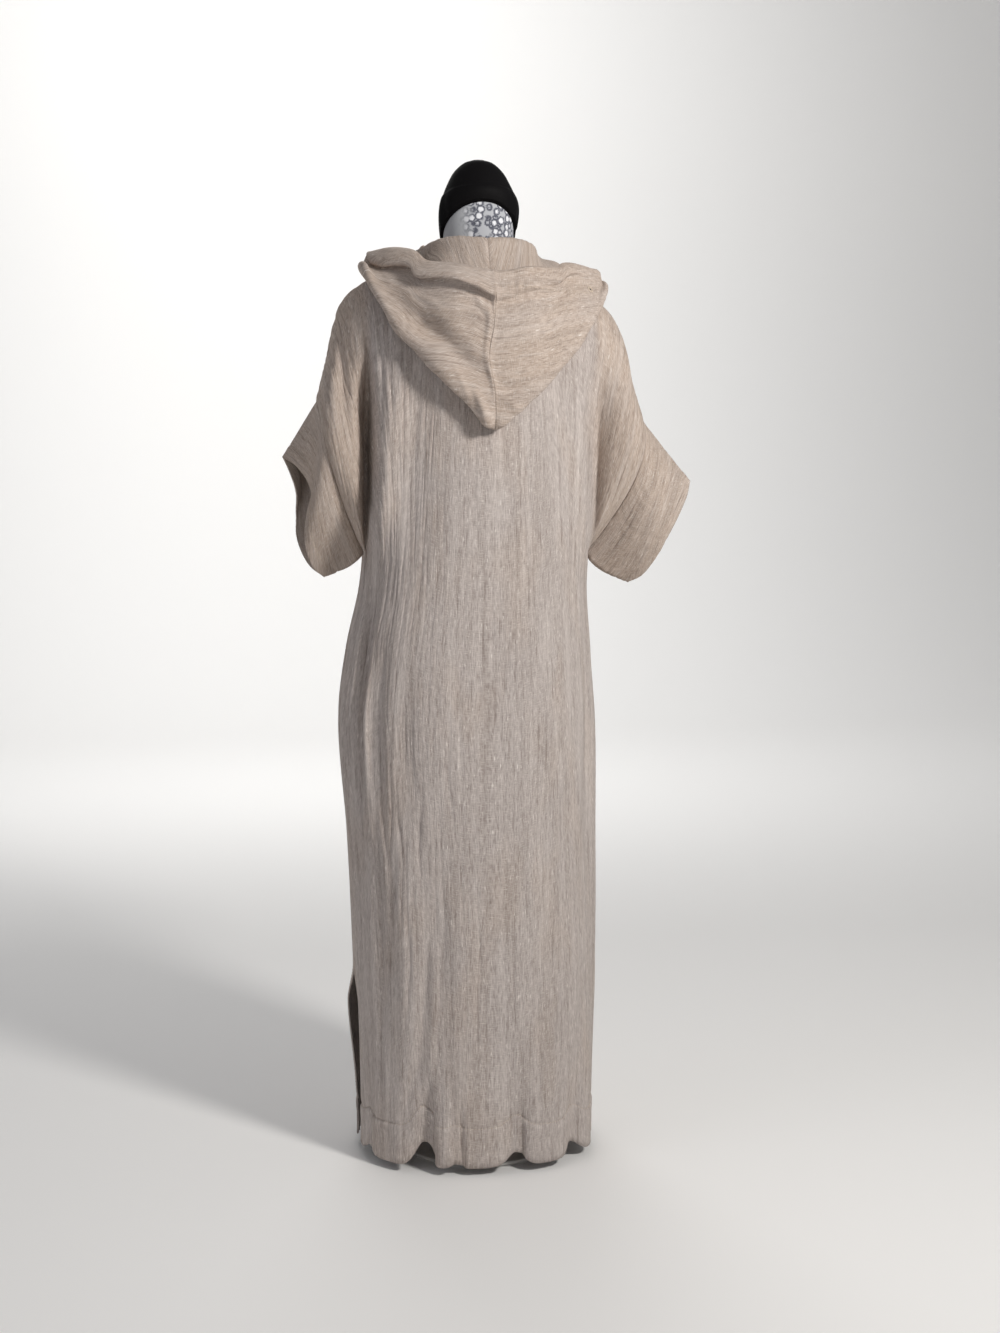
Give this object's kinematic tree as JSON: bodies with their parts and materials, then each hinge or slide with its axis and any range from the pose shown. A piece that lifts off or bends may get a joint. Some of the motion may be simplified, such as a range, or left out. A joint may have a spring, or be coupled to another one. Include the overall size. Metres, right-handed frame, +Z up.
{
  "type": "hooded kaftan on dress form",
  "caption": "Long crinkled kaftan with short wide sleeves, side slits and a lowered hood, worn by a limbless dress form on a round stand.",
  "frame": {"origin": "centre of the stand's base, on the floor, on the pole's axis", "axes": "+Z up; the garment's front faces -Y and its back +Y; the wearer's left is +X"},
  "size_m": [0.5914, 0.3102, 1.4234],
  "materials": {
    "crinkled_linen": "matt",
    "form_cover": "matt",
    "black_cover": "matt",
    "painted_steel": "satin"
  },
  "bodies": {
    "root": {"back_panel": "crinkled_linen", "front_panel": "crinkled_linen", "sleeve_left": "crinkled_linen", "sleeve_right": "crinkled_linen", "hood_left": "crinkled_linen", "hood_right": "crinkled_linen", "form_torso": "form_cover", "form_neck_cap": "black_cover", "stand_pole": "painted_steel", "stand_base": "painted_steel"}
  },
  "joints": []
}
